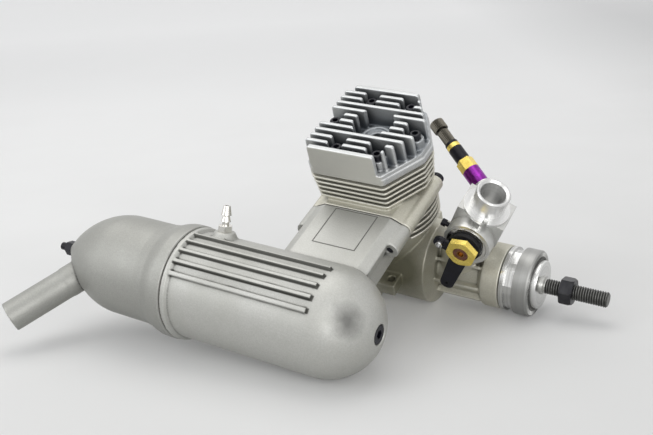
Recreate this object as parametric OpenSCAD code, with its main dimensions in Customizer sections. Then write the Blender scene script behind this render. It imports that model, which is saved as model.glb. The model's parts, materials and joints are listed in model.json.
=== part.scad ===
// Single-cylinder glow engine for a model aircraft, with carburettor and silencer.
// The origin is where the crankshaft axis meets the cylinder axis. +X runs along the shaft
// towards the propeller, +Z runs up the cylinder, and the silencer hangs on the -Y side.

/* [Cylinder and crank] */
// Cylinder bore
bore_d = 30; // [28:0.5:31]
// Piston stroke
stroke = 24; // [23:0.5:24]
// Connecting rod length between centres
rod_len = 46; // [46:0.5:47]
// Height of the head joint above the crankshaft axis
deck_z = 73; // [73:0.5:75]
// Wall of the cylinder liner
liner_wall = 2; // [1.5:0.1:2.2]
// Wrist pin diameter
wrist_pin_d = 7; // [6:0.5:7.5]
// Crank pin diameter
crank_pin_d = 6.4; // [6:0.2:6.4]
// Radial clearance of running fits
running_gap = 0.04; // [0.02:0.01:0.08]

/* [Crankcase] */
// Outer radius of the crank chamber
case_r = 22.6; // [22.6:0.1:23.4]
// Wall of the crank chamber
case_wall = 1.5; // [1.2:0.1:1.5]
// Back face of the crank chamber, behind the cylinder axis
case_back = 20; // [19:0.5:22]
// Front shoulder of the crank chamber
case_front = 25; // [24:0.5:27]
// Front face of the nose
nose_front = 64; // [63:0.5:66]
// Radius of the bearing ring at the front of the nose
nose_ring_r = 17; // [16:0.1:17.5]
// Radius of the nose tube between its ribs
nose_tube_r = 12.5; // [11.5:0.1:13]
// Outer radius of the cylinder wall
barrel_r = 21; // [20.8:0.1:21.4]

/* [Mounting lugs] */
// Distance across the engine between lug holes
lug_hole_across = 52; // [50:0.5:56]
// Distance along the shaft between lug holes
lug_hole_along = 25; // [22:0.5:28]
// Lug hole diameter
lug_hole_d = 4.2; // [3.6:0.1:5]
// Thickness of the lugs
lug_t = 7; // [6:0.5:8]

/* [Cooling fins] */
// Number of fins on the head
head_fins = 12; // [12:1:12]
// Distance from one head fin to the next
head_fin_pitch = 4.64; // [4.5:0.02:4.7]
// Thickness of a head fin
head_fin_t = 1.9; // [1.5:0.1:2.2]
// Height of the head from its joint to the tops of its fins
head_h = 17; // [16:0.5:18]
// Thickness of the head's base slab
head_slab = 5.7; // [5:0.1:6.5]
// Number of ring fins on the crankcase, just under the head
ring_fins = 5; // [4:1:5]
// Distance from one ring fin to the next
ring_fin_pitch = 3.2; // [3:0.05:3.3]
// Thickness of a ring fin
ring_fin_t = 1.3; // [1:0.1:1.5]
// Bolt circle radius of the head bolts
head_bolt_circle = 22.5; // [22.2:0.1:22.6]
// Thread diameter of the head bolts
head_bolt_d = 3; // [2.5:0.1:3.2]
// Glow plug thread diameter
plug_d = 6.35; // [6:0.05:6.5]

/* [Exhaust duct] */
// Half width of the exhaust duct
duct_half = 20.3; // [19:0.1:21]
// Top face of the exhaust duct above the crankshaft axis
duct_top = 56; // [55.5:0.1:56.5]
// Underside of the exhaust duct
duct_bottom = 33; // [32:0.5:35]
// Distance from the cylinder axis to the duct joint
duct_joint = 29.5; // [29:0.1:30]
// Distance between the two silencer screws
duct_screw_span = 48.2; // [47.6:0.2:49]
// Height of the silencer screws
duct_screw_z = 48.8; // [48:0.1:49.4]
// Thread diameter of the silencer screws
duct_screw_d = 3.5; // [3:0.1:4]

/* [Silencer] */
// Distance from the cylinder axis to the silencer axis
muf_y = 90.8; // [88:0.5:94]
// Height of the silencer axis
muf_z = 44; // [43:0.5:45]
// Radius of the front shell
muf_r = 26.8; // [26:0.1:27.5]
// Height of the joint ring above the front shell
muf_ring_step = 2.2; // [1.8:0.1:2.7]
// Place of the joint ring along the shaft axis
muf_joint = -63.2; // [-66:0.2:-60]
// Front end of the dome
muf_nose = 41.8; // [40:0.2:44]
// Radius of the rear shell
tail_r = 25.9; // [25:0.1:26.3]
// Length of the rear shell
tail_len = 84.5; // [82:0.5:90]
// Length of the rear shell's cone
tail_cone = 42.5; // [38:0.5:46]
// Wall of both shells
muf_wall = 2.2; // [1.8:0.1:2.6]
// Number of stiffening ribs on the front shell
muf_ribs = 5; // [3:1:7]
// Angle between stiffening ribs
muf_rib_step = 13.1; // [12:0.1:14]
// Outer diameter of the tail pipe
pipe_d = 16; // [15:0.1:17]
// Wall of the tail pipe
pipe_wall = 1.3; // [1:0.1:1.8]
// Length of the tail pipe from the silencer axis
pipe_len = 57.5; // [50:0.5:66]
// Thread diameter of the through bolt
through_d = 4.2; // [4:0.1:5.4]

/* [Drive] */
// Radius of the drive hub's thrust ring
hub_r = 17.4; // [16.5:0.1:17.6]
// Front face of the drive hub
hub_front = 79.6; // [78:0.1:81]
// Thickness of the propeller washer
washer_t = 2.9; // [2:0.1:3.5]
// Radius of the propeller washer
washer_r = 12.8; // [11:0.1:14]
// Main journal diameter
journal_d = 15; // [14:0.1:15.4]
// Propeller thread diameter
thread_d = 7.94; // [7.5:0.02:8]
// Front end of the shaft
shaft_tip = 116.4; // [112:0.2:120]
// Across flats of the propeller nut
nut_af = 12.6; // [12:0.1:14]
// Thickness of the propeller nut
nut_t = 6.5; // [5.5:0.1:8]
// Back face of the propeller nut
nut_back = 92.5; // [90:0.5:96]

/* [Carburettor] */
// Place of the throttle axis along the shaft
carb_x = 50; // [49.5:0.1:50.5]
// Height of the throttle axis
carb_z = 33.5; // [33:0.1:34]
// Forward lean of the carburettor
carb_lean = 24; // [23:0.5:25]
// Radius of the throttle housing
carb_r = 12.3; // [12:0.1:12.8]
// Diameter of the throttle drum
drum_d = 17; // [16:0.1:17.4]
// Diameter of the air passage
throat_d = 13; // [12:0.1:13.4]
// Diameter of the intake shank
shank_d = 17; // [16:0.1:17.4]
// Distance from the throttle axis to the top of the throat
throat_top = 26.8; // [25:0.1:29]
// Length of the throttle arm to its link hole
arm_len = 29.3; // [25:0.1:30]
// Swing of the needle housing away from the throttle axis
needle_angle = 56.8; // [54:0.2:59]
// Length of the needle from its seat to its knob
needle_len = 51; // [49:0.5:54]

/* [Hidden] */
$fn = 64;
eps = 0.01;
seat_gap = 0.05;

throw = stroke / 2;
liner_r = bore_d / 2 + liner_wall;
piston_r = bore_d / 2 - running_gap;
pin_z = throw + rod_len;
crown_z = deck_z - 1.5;
chamber_r = case_r - case_wall;
rod_half = 4;
big_end_r = crank_pin_d / 2 + 1.9;
small_end_r = wrist_pin_d / 2 + 2.2;
web_back = rod_half + 1.5;
web_front = 13;
rear_bearing_x = 14.4;
rear_bearing_w = 7;
rear_bearing_r = 14;
front_bearing_w = 7;
nose_lip = 1.6;
front_bearing_x = nose_front - front_bearing_w - nose_lip;
front_bearing_r = 11;
front_journal_d = 9.6;
lug_x = -3.5;
lug_half_x = 16.4;
lug_reach = lug_hole_across / 2 + 5.4;
liner_bottom = 28;
exhaust_port = [47.5, 54];
head_round = 3;
outline_top = [[-27.3, 21.5], [-23, 26.6], [12.5, 26.6], [26, 5.7]];
outline_base = [[-28.6, 22], [-24, 27.2], [16, 27.2], [28.3, 5.5]];
recess_r = 10.4;
bolt_head_r = head_bolt_d * 0.92;
bolt_head_h = 3;
bolt_seat = 10.7;
duct_end = muf_y - 18;
column_r = 4.5;
column_back = 9.5;
column_front = 44.5;
backplate_t = 4;
pad_r = 3.2;
backplate_screw_circle = chamber_r + pad_r + 0.3;
tail_end_boss = 4.2;
muf_ring_r = muf_r + muf_ring_step;
tail_tip = muf_joint - tail_len + 2.8;
nut_front = nut_back + nut_t;
pipe_dir = [-0.494, -0.866, -0.08];
pipe_start = -122;
drum_front = -15.3;
housing_back = 14;
needle_root = 19.8;
boot_t = 2.6;
arm_t = 1.7;
hex_back = drum_front - boot_t - arm_t - 0.1;
clamp_place = [-shank_d / 2 - 0.7, 0, -19];
clamp_r = 1.5;
clamp_seat = 10.3;
arm_screw_place = [-11.8, -3.5];
// ends of the collar, hexagon, sleeve, ring and ratchet along the needle
needle_steps = [10.5, 21, 27.65, 36.8, 39.3, 41];
fuel_nipple_at = 6.6;
pressure_nipple_x = -47.5;
pressure_nipple_angle = -33;

// turns the Z axis onto X, with its foot at x
module on_x(x = 0) { translate([x, 0, 0]) rotate([0, 90, 0]) children(); }
// turns the Z axis onto Y, with its foot at y
module on_y(y = 0) { translate([0, y, 0]) rotate([-90, 0, 0]) children(); }
module rod_x(x0, x1, r) { on_x(x0) cylinder(r = r, h = x1 - x0); }
module rod_y(y0, y1, r) { on_y(y0) cylinder(r = r, h = y1 - y0); }
module tube_x(x0, x1, r, bore) {
    on_x(x0) difference() {
        cylinder(r = r, h = x1 - x0);
        translate([0, 0, -1]) cylinder(r = bore, h = x1 - x0 + 2);
    }
}
module tube_y(y0, y1, r, bore) {
    difference() {
        rod_y(y0, y1, r);
        rod_y(y0 - 1, y1 + 1, bore);
    }
}
module hex_rod(af, h) { cylinder(d = af / cos(30), h = h, $fn = 6); }
module carb_frame() { translate([carb_x, 0, carb_z]) rotate([0, carb_lean, 0]) children(); }
module silencer_frame() { translate([0, -muf_y, muf_z]) children(); }
// along the needle's axis, from the throttle axis outwards
module needle_frame(s = 0) {
    carb_frame() translate([0, needle_root, 0]) rotate([0, 0, 90 + needle_angle])
        on_x(s) children();
}
// along the tail pipe's axis, from the silencer axis outwards
module pipe_frame() {
    silencer_frame() translate([pipe_start, 0, 0])
        rotate([0, acos(pipe_dir.z), atan2(pipe_dir.y, pipe_dir.x)]) children();
}
module pressure_nipple_frame() {
    silencer_frame() translate([pressure_nipple_x, 0, 0]) rotate([pressure_nipple_angle, 0, 0])
        children();
}
module backplate_places() {
    for (a = [45:90:315]) rotate([a, 0, 0]) translate([0, backplate_screw_circle, 0]) children();
}

// socket cap screw standing on z = 0, with its shank going down
module cap_screw(d, len, head_r, head_h) {
    difference() {
        union() {
            cylinder(r = head_r, h = head_h - 0.3);
            translate([0, 0, head_h - 0.3]) cylinder(r1 = head_r, r2 = head_r - 0.3, h = 0.3);
            translate([0, 0, -len]) cylinder(d = d, h = len + eps);
        }
        translate([0, 0, head_h * 0.45]) hex_rod(head_r * 1.0, head_h);
    }
}

// both sides of an outline given by its corners on the +Y side, from the rear to the front
function mirrored(q) = concat(q, [for (i = [len(q) - 1:-1:0]) [q[i].x, -q[i].y]]);
function unit(v) = v / norm(v);
// points of a polygon whose corners are rounded to radius r
function rounded(pts, r, n = 5) = [for (i = [0:len(pts) - 1]) let (
    p = pts[i], a = unit(pts[(i + len(pts) - 1) % len(pts)] - p),
    b = unit(pts[(i + 1) % len(pts)] - p), half = acos(a * b) / 2, reach = r / tan(half),
    c = p + unit(a + b) * r / sin(half), v = p + a * reach - c, w = p + b * reach - c,
    turn = cross(v, w) > 0 ? 1 : -1, sweep = 180 - 2 * half)
    for (k = [0:n]) let (t = turn * sweep * k / n)
        c + [v.x * cos(t) - v.y * sin(t), v.x * sin(t) + v.y * cos(t)]];
module outline(q, r) { polygon(rounded(mirrored(q), r)); }
function between(p, q, y) = p.x + (q.x - p.x) * (y - p.y) / (q.y - p.y);
// ends of the head's top outline at a distance y from its middle
function rear_end(y) = between(outline_top[0], outline_top[1], max(y, outline_top[0].y));
function front_end(y) = between(outline_top[3], outline_top[2], max(y, outline_top[3].y));

// one head fin as a plate from x0 to x1, with rounded corners and ends that lean in a little
module head_fin(y, x0, x1, t = head_fin_t) {
    rear = max(x0, rear_end(abs(y)));
    front = min(x1, front_end(abs(y)));
    lean = 0.5;
    high = head_h - head_slab + 1;
    translate([0, y + t / 2, deck_z + head_slab - 1]) rotate([90, 0, 0])
        linear_extrude(t) polygon(rounded([[rear > x0 ? rear - lean : rear, 0],
            [front < x1 ? front + lean : front, 0], [front, high], [rear, high]],
            min(1.1, (front - rear) * 0.4), 3));
}

module bolt_places() {
    for (a = [0:60:300]) rotate([0, 0, a]) translate([head_bolt_circle, 0, 0]) children();
}

module cylinder_head() {
    wide = 60;
    bolt_gap = [6.8, 14.5];
    mid = (head_fins - 1) / 2;
    color("gainsboro") difference() {
        union() {
            translate([0, 0, deck_z]) linear_extrude(head_slab * 0.6)
                outline(outline_base, head_round);
            translate([0, 0, deck_z]) linear_extrude(head_slab)
                outline([for (p = outline_base) [p.x * 0.965, p.y]], head_round);
            for (k = [0:head_fins - 1]) {
                y = (k - mid) * head_fin_pitch;
                m = abs(k - mid);
                if (m == mid) {
                    // the end fins are thicker and flush with the slab
                    end_y = outline_base[1].y;
                    end_t = end_y - abs(y) + head_fin_t / 2;
                    head_fin(sign(y) * (end_y - end_t / 2), -wide, wide, end_t);
                } else if (m > mid - 1 || abs(m - mid + 3) < 0.1) head_fin(y, -wide, wide);
                else if (m > mid - 3) {
                    head_fin(y, -wide, -bolt_gap[1]);
                    head_fin(y, -bolt_gap[0], bolt_gap[0]);
                    head_fin(y, bolt_gap[1], wide);
                } else if (m > 1) {
                    head_fin(y, -wide, -7.4);
                    head_fin(y, 7.4, wide);
                } else {
                    head_fin(y, -18, -10);
                    head_fin(y, 10, 18);
                }
            }
            bolt_places() translate([0, 0, deck_z]) cylinder(r = bolt_head_r + 1.2, h = bolt_seat);
            translate([0, 0, deck_z]) cylinder(r = recess_r - 2.2, h = head_slab + 2.6);
        }
        translate([0, 0, deck_z + head_slab + 1]) difference() {
            cylinder(r = recess_r, h = head_h);
            translate([0, 0, -1]) cylinder(r = recess_r - 2.4, h = head_h);
        }
        translate([0, 0, deck_z + head_slab + 2.6]) cylinder(r = recess_r - 2.2, h = head_h);
        translate([0, 0, deck_z + head_slab + 1.4]) cylinder(r = recess_r - 4.4, h = head_h);
        // plug thread and combustion chamber
        cylinder(d = plug_d, h = deck_z + head_h);
        translate([0, 0, deck_z - 10.2]) sphere(r = 13);
        translate([0, 0, deck_z - 1]) cylinder(r = liner_r + 1.7, h = 1.3);
        bolt_places() {
            translate([0, 0, deck_z - 1]) cylinder(d = head_bolt_d + 0.3, h = head_h);
            translate([0, 0, deck_z + bolt_seat]) cylinder(r = bolt_head_r + 0.9, h = head_h);
        }
    }
}

module head_bolts() {
    color("black") bolt_places() translate([0, 0, deck_z + bolt_seat])
        cap_screw(head_bolt_d, bolt_seat + 8, bolt_head_r, bolt_head_h);
}

module head_gasket() {
    color("peru") translate([0, 0, deck_z]) difference() {
        cylinder(r = liner_r + 1.5, h = 0.3);
        translate([0, 0, -1]) cylinder(d = bore_d, h = 3);
    }
}

module cylinder_liner() {
    color("silver") difference() {
        union() {
            translate([0, 0, liner_bottom]) cylinder(r = liner_r, h = deck_z - liner_bottom);
            translate([0, 0, deck_z - 2]) cylinder(r = liner_r + 1.5, h = 2);
        }
        translate([0, 0, liner_bottom - 1]) cylinder(d = bore_d, h = deck_z);
        translate([-9, -liner_r - 1, exhaust_port[0]])
            cube([18, liner_r, exhaust_port[1] - exhaust_port[0]]);
        for (s = [-1, 1]) translate([s * liner_r, 0, 49.2]) cube([8, 13, 5.4], center = true);
        translate([0, liner_r, 49.2]) cube([13, 8, 5.4], center = true);
    }
}

// screw columns beside the duct, from y0 to y1
module duct_columns(y0, y1) {
    for (s = [-1, 1]) {
        translate([s * duct_screw_span / 2, 0, duct_screw_z]) rod_y(y0, y1, column_r);
        translate([s > 0 ? 12 : -duct_screw_span / 2, y0, duct_screw_z - column_r])
            cube([duct_screw_span / 2 - 12, y1 - y0, 2 * column_r]);
    }
}
// outline of the duct across its length, with its top corners sloping to the columns
module duct_section() {
    q = [[duct_half, duct_bottom + 2], [duct_half, duct_screw_z - column_r],
        [duct_screw_span / 2, duct_screw_z + column_r], [duct_half - 1.4, duct_top]];
    polygon(concat([[-duct_half + 3, duct_bottom], [duct_half - 3, duct_bottom]], q,
        [for (i = [3:-1:0]) [-q[i].x, q[i].y]]));
}
module duct_block(y0, y1) {
    translate([0, y1, 0]) rotate([90, 0, 0]) linear_extrude(y1 - y0) duct_section();
}
module duct_passage(y0, y1) {
    translate([-13, y0, exhaust_port[0] - 7]) cube([26, y1 - y0, exhaust_port[1] - exhaust_port[0] + 7]);
}

module lugs() {
    for (s = [-1, 1]) difference() {
        translate([lug_x, s * (lug_reach / 2 + 5), lug_t / 2])
            cube([2 * lug_half_x, lug_reach - 10, lug_t], center = true);
        for (e = [-1, 1]) translate([lug_x + e * lug_hole_along / 2, s * lug_hole_across / 2, -1])
            cylinder(d = lug_hole_d, h = lug_t + 2);
    }
}

module nose_ribs() {
    for (a = [8, 52, 128, 172, 210, 270, 330])
        rotate([a, 0, 0]) translate([case_front - 3, 0, -0.8])
            cube([nose_front - 8 - case_front, nose_ring_r - 1, 1.6]);
}

module crankcase() {
    ring_top = deck_z - ring_fin_pitch;
    low_fins = [for (i = [0:4]) 30.2 + 3.1 * i];
    boss_r = shank_d / 2 + 3.4;
    color("darkkhaki") difference() {
        union() {
            rod_x(-case_back, case_front, case_r);
            on_x(case_front - eps) cylinder(r1 = case_r, r2 = nose_tube_r + 3, h = 3.5);
            rod_x(case_front, nose_front, nose_tube_r);
            rod_x(nose_front - 9.3, nose_front, nose_ring_r);
            on_x(nose_front - 12.3) cylinder(r1 = nose_tube_r, r2 = nose_ring_r, h = 3 + eps);
            nose_ribs();
            carb_frame() translate([0, 0, -32]) cylinder(r = boss_r, h = 32 - carb_r - 0.9);
            cylinder(r = barrel_r, h = deck_z);
            for (i = [0:ring_fins - 1]) translate([0, 0, ring_top - ring_fin_pitch * i])
                linear_extrude(ring_fin_t) outline(outline_base * (1 - 0.012 * i), head_round);
            for (z = low_fins) translate([0, 0, z]) intersection() {
                cylinder(r = barrel_r + 5.4, h = ring_fin_t);
                translate([-40, -17, 0]) cube([80, 40, ring_fin_t]);
            }
            bolt_places() translate([0, 0, deck_z - 14]) cylinder(r = 3.4, h = 14 - eps);
            duct_block(-duct_joint, -8);
            duct_columns(-duct_joint, column_back);
            lugs();
            // pads for the backplate screws
            backplate_places() rod_x(-case_back, -case_back + 14, pad_r);
        }
        // crank chamber and the pocket in which the rod swings
        rod_x(-case_back - 1, rear_bearing_x - 0.8, chamber_r);
        translate([-rod_half - 1.2, -throw - big_end_r - 0.6, 0])
            cube([2 * rod_half + 2.4, 2 * (throw + big_end_r + 0.6), liner_bottom - 2]);
        translate([0, 0, -1]) cylinder(d = bore_d + 1, h = deck_z);
        translate([0, 0, liner_bottom]) cylinder(r = liner_r + seat_gap, h = deck_z);
        translate([0, 0, deck_z - 2 - seat_gap]) cylinder(r = liner_r + 1.5 + seat_gap, h = 5);
        // bearings, shaft and intake
        rod_x(rear_bearing_x - 2, rear_bearing_x + rear_bearing_w + seat_gap, rear_bearing_r + seat_gap);
        rod_x(rear_bearing_x, nose_front - 4, journal_d / 2 + 0.3);
        rod_x(front_bearing_x - seat_gap, nose_front - nose_lip + seat_gap, front_bearing_r + seat_gap);
        rod_x(nose_front - 3, nose_front + 1, front_bearing_r - 1.6);
        carb_frame() translate([0, 0, -30]) cylinder(d = shank_d - 4, h = 30);
        carb_frame() translate([0, 0, -25]) cylinder(d = shank_d + 2 * seat_gap, h = 30);
        carb_frame() translate(clamp_place) rod_y(-20, 20, clamp_r + seat_gap);
        // exhaust port and transfer passages
        duct_passage(-duct_joint - 1, -10);
        for (s = [-1, 1]) translate([s * (liner_r + 0.2), 0, 38]) cube([3, 11, 27], center = true);
        translate([0, liner_r + 0.2, 38]) cube([11, 3, 27], center = true);
        // seats of the backplate and of the carburettor
        translate([-case_back - 5, 0, case_r / 2]) cube([10, 16, case_r + 0.8], center = true);
        carb_frame() translate([0, 0, -carb_r - 0.9]) cylinder(r = carb_r, h = carb_r);
        // screw holes
        for (s = [-1, 1]) translate([s * duct_screw_span / 2, 0, duct_screw_z])
            rod_y(-duct_joint - 1, column_back + 1, duct_screw_d / 2 + 0.15);
        bolt_places() translate([0, 0, deck_z - 10]) cylinder(d = head_bolt_d + 0.1, h = 12);
        backplate_places() rod_x(-case_back - 1, -case_back + 10, 1.55);
    }
}

module backplate() {
    color("silver") difference() {
        union() {
            rod_x(-case_back - 0.4 - backplate_t, -case_back - 0.4, case_r);
            rod_x(-case_back - 0.4, -case_back + 8, chamber_r - 0.3);
            backplate_places() rod_x(-case_back - 0.4 - backplate_t, -case_back - 0.4, pad_r);
        }
        rod_x(-case_back - 3, -case_back + 9, chamber_r - 2.6);
        tube_x(-case_back - 10, -case_back - 0.4 - backplate_t + 1.2, 15, 8);
        backplate_places() rod_x(-case_back - 20, -case_back + 10, 1.65);
    }
}
module backplate_gasket() {
    color("dimgray") difference() {
        tube_x(-case_back - 0.35, -case_back - 0.05, case_r, chamber_r - 0.1);
        backplate_places() rod_x(-case_back - 2, -case_back + 1, 1.65);
    }
}
module backplate_screws() {
    color("black") backplate_places() translate([-case_back - 0.4 - backplate_t, 0, 0])
        rotate([0, -90, 0]) cap_screw(3, 12, 2.7, 3);
}

// ball bearing along X: two races and a row of balls
module ball_bearing(x, w, r_out, bore, balls) {
    mid = (r_out + bore / 2) / 2;
    ball = (r_out - bore / 2) * 0.27;
    difference() {
        union() {
            tube_x(x, x + w, r_out, mid + ball * 0.55);
            tube_x(x, x + w, mid - ball * 0.55, bore / 2 + running_gap);
        }
        on_x(x + w / 2) rotate_extrude() translate([mid, 0]) circle(r = ball + 0.05);
    }
    for (i = [0:balls - 1]) rotate([360 / balls * i, 0, 0]) translate([x + w / 2, 0, mid])
        sphere(r = ball, $fn = 24);
}
module rear_bearing() {
    color("lightsteelblue") ball_bearing(rear_bearing_x, rear_bearing_w, rear_bearing_r, journal_d, 11);
}
module front_bearing() {
    color("lightsteelblue")
        ball_bearing(front_bearing_x, front_bearing_w, front_bearing_r, front_journal_d, 9);
}

module crankshaft() {
    web_r = 18.5;
    color("dimgray") difference() {
        union() {
            intersection() {
                rod_x(web_back, web_front, web_r);
                union() {
                    translate([web_back, -20, -20]) cube([10, 40, 21]);
                    rod_x(web_back, web_front, journal_d / 2 + 3);
                    translate([web_back, -7.5, 0]) cube([10, 15, 30]);
                }
            }
            translate([0, 0, throw]) rod_x(rod_half + 0.3, web_back + eps, crank_pin_d / 2);
            rod_x(web_front - eps, rear_bearing_x, journal_d / 2 + 1.6);
            rod_x(web_front, front_bearing_x - 0.6, journal_d / 2);
            rod_x(front_bearing_x - 1, hub_front + washer_t + 1, front_journal_d / 2);
            rod_x(hub_front, shaft_tip - 0.8, thread_d / 2);
            on_x(shaft_tip - 0.8 - eps) cylinder(d1 = thread_d, d2 = thread_d - 1.6, h = 0.8);
        }
        // mixture passage with its rotary window
        rod_x(web_back - 1, 46, 4.6);
        translate([31, -5, 2]) cube([13, 10, 10]);
        // thread relief at the front face of the nut
        tube_x(nut_front - 0.9, nut_front + 0.1, thread_d, thread_d / 2 - 0.5);
    }
}
module drive_collet() {
    color("silver") on_x(nose_front + 1.2) difference() {
        cylinder(r1 = 8.4, r2 = 6.6, h = 12);
        translate([0, 0, -1]) cylinder(d = front_journal_d + 2 * seat_gap, h = 14);
        translate([0, -0.5, -1]) cube([12, 1, 14]);
    }
}
module drive_hub() {
    x0 = nose_front + 0.6;
    neck = x0 + 2.2;
    ring = hub_front - 8;
    neck_r = hub_r - 1.5;
    color("silver") difference() {
        union() {
            rod_x(x0, neck, hub_r - 0.5);
            rod_x(neck - eps, ring, neck_r);
            rod_x(ring - eps, hub_front - 0.8, hub_r);
            on_x(hub_front - 0.8 - eps) cylinder(r1 = hub_r, r2 = hub_r - 0.6, h = 0.8 + eps);
        }
        on_x(x0 - 1) cylinder(r1 = 8.4 + 0.32, r2 = 6.6 + 0.02, h = 13.6);
        rod_x(x0, hub_front + 1, front_journal_d / 2 + seat_gap);
        // flats for a spanner
        for (a = [0:45:135], s = [-1, 1]) rotate([a, 0, 0])
            translate([(neck + ring) / 2, 0, s * (neck_r - 0.55 + 2)])
                cube([ring - neck, 8.4, 4], center = true);
    }
}
module prop_washer() {
    color("gainsboro") difference() {
        tube_x(hub_front + seat_gap, hub_front + washer_t, washer_r, front_journal_d / 2 + seat_gap);
        on_x(hub_front + washer_t - 0.6) difference() {
            cylinder(r = washer_r + 1, h = 2);
            translate([0, 0, -1]) cylinder(r1 = washer_r + 0.6, r2 = washer_r - 1.4, h = 3);
        }
    }
}
module prop_nut() {
    color("dimgray") on_x(nut_back) difference() {
        intersection() {
            hex_rod(nut_af, nut_t);
            translate([0, 0, -nut_t * 0.5]) cylinder(r1 = nut_af * 0.9, r2 = nut_af * 0.52, h = nut_t * 1.5);
            cylinder(r1 = nut_af * 0.55, r2 = nut_af * 0.8, h = nut_t);
        }
        translate([0, 0, -1]) cylinder(d = thread_d + 2 * seat_gap, h = nut_t + 2);
    }
}

module piston() {
    skirt = 25;
    color("silver") difference() {
        union() {
            difference() {
                translate([0, 0, crown_z - skirt]) cylinder(r = piston_r, h = skirt);
                translate([0, 0, crown_z - skirt - 1]) cylinder(r = piston_r - 2.4, h = skirt - 2.4);
            }
            for (s = [-1, 1]) intersection() {
                translate([0, 0, pin_z]) rod_x(-piston_r + 1.7, piston_r - 1.7, wrist_pin_d / 2 + 2.6);
                translate([s * (rod_half + 0.8 + piston_r / 2), 0, pin_z])
                    cube([piston_r, piston_r, piston_r], center = true);
            }
        }
        translate([0, 0, pin_z]) rod_x(-piston_r - 1, piston_r + 1, wrist_pin_d / 2 + running_gap);
    }
}
module wrist_pin() {
    color("gray") translate([0, 0, pin_z])
        tube_x(-bore_d / 2 + 2.6, bore_d / 2 - 2.6, wrist_pin_d / 2, wrist_pin_d / 2 - 1.4);
}
module pin_clips() {
    color("black") translate([0, 0, pin_z]) for (s = [-1, 1]) on_x(s * (bore_d / 2 - 2))
        difference() {
            rotate_extrude() translate([wrist_pin_d / 2 - 0.5, 0]) circle(r = 0.4, $fn = 16);
            translate([0, -1, -2]) cube([8, 2, 4]);
        }
}
module connecting_rod() {
    color("darkgray") difference() {
        union() {
            translate([0, 0, pin_z]) rod_x(-rod_half, rod_half, small_end_r);
            translate([0, 0, throw]) rod_x(-rod_half, rod_half, big_end_r);
            translate([-rod_half + 1, 0, 0]) rotate([90, 0, 90]) linear_extrude(2 * rod_half - 2)
                polygon([[-big_end_r + 1.6, throw], [big_end_r - 1.6, throw],
                    [small_end_r - 1.8, pin_z], [-small_end_r + 1.8, pin_z]]);
        }
        translate([0, 0, pin_z]) rod_x(-9, 9, wrist_pin_d / 2 + 0.8);
        translate([0, 0, throw]) rod_x(-9, 9, crank_pin_d / 2 + 0.8);
        for (s = [-1, 1]) translate([s * rod_half, 0, (throw + pin_z) / 2])
            cube([4.4, 4, rod_len - 22], center = true);
    }
}
module rod_bushes() {
    color("peru") {
        translate([0, 0, pin_z]) tube_x(-rod_half, rod_half, wrist_pin_d / 2 + 0.8,
            wrist_pin_d / 2 + running_gap);
        translate([0, 0, throw]) tube_x(-rod_half, rod_half, crank_pin_d / 2 + 0.8,
            crank_pin_d / 2 + running_gap);
    }
}

module carb_body() {
    top = 14.2;
    color("silver") difference() {
        union() {
            carb_frame() {
                rod_y(drum_front, housing_back, carb_r);
                translate([-12.4, -8, 0]) cube([25.2, 18.3, top]);
                translate([0, 0, -carb_r - 0.6]) cylinder(r = carb_r - 0.4, h = carb_r);
                translate([0, 0, -24]) cylinder(d = shank_d, h = 24);
                rod_y(housing_back - eps, needle_root + 0.4, carb_r - 4.6);
            }
            needle_frame() cylinder(r = 5.6, h = 10.5);
        }
        carb_frame() {
            rod_y(drum_front - 1, housing_back - 2, drum_d / 2 + running_gap);
            rod_y(drum_front - 1, drum_front + 1.4, drum_d / 2 + 2);
            translate([0, 0, -30]) cylinder(d = throat_d - 1, h = 40);
            translate([0, 0, 5]) cylinder(d = throat_d + 3.4 + 2 * seat_gap, h = 12);
            translate([-13.5, -5, -5]) rotate([0, 90, 0]) cylinder(r = 1.3, h = 6);
            rod_y(needle_root - 10, needle_root - 2, 1.3);
            // notch that the clamp screw passes through
            translate(clamp_place) rod_y(-20, 20, clamp_r + 0.4);
        }
        needle_frame() translate([0, 0, -1]) cylinder(r = 2, h = 13);
        needle_frame(fuel_nipple_at) rod_x(1, 13, 1.25);
    }
}
module carb_throat() {
    flange_r = 12;
    color("white") carb_frame() difference() {
        union() {
            translate([0, 0, 5.2]) cylinder(d = throat_d + 3.4, h = 10);
            translate([0, 0, 14.3]) cylinder(r = flange_r, h = 1.5);
            translate([0, 0, 15.7]) cylinder(d = throat_d + 4.4, h = throat_top - 16.3);
            translate([0, 0, throat_top - 0.6 - eps])
                cylinder(d1 = throat_d + 4.4, d2 = throat_d + 3.4, h = 0.6);
        }
        cylinder(d = throat_d, h = 40);
        rod_y(-20, 20, drum_d / 2 + 0.3);
        translate([0, 0, throat_top - 1]) cylinder(d1 = throat_d, d2 = throat_d + 2.2, h = 1.01);
        // notch in the flange that keeps the throat from turning
        translate([2, -flange_r - 1, 14]) cube([2.4, 4.2, 3]);
    }
}
module carb_seal() {
    color("black") carb_frame() translate([0, 0, -carb_r - 0.85]) difference() {
        cylinder(r = shank_d / 2 + 1.8, h = 0.2);
        translate([0, 0, -1]) cylinder(d = shank_d + 2 * seat_gap, h = 3);
    }
}
module carb_clamp_screw() {
    color("black") carb_frame() translate(clamp_place) {
        rod_y(3.5 - clamp_seat, clamp_seat + eps, clamp_r);
        on_y(clamp_seat) cylinder(r = 2.6, h = 2.8);
    }
}
module idle_stop_screw() {
    color("black") carb_frame() translate([-12.5, -5, -5]) rotate([0, -90, 0]) {
        translate([0, 0, -4.5]) cylinder(r = 1.25, h = 6.5);
        translate([0, 0, 1.8]) cap_screw(2.2, 1, 2, 2.6);
    }
}
module drum_retainer() {
    color("white") carb_frame() tube_y(drum_front - 0.4, drum_front + 1.3, drum_d / 2 + 1.9, drum_d / 2 + 0.4);
}
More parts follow.
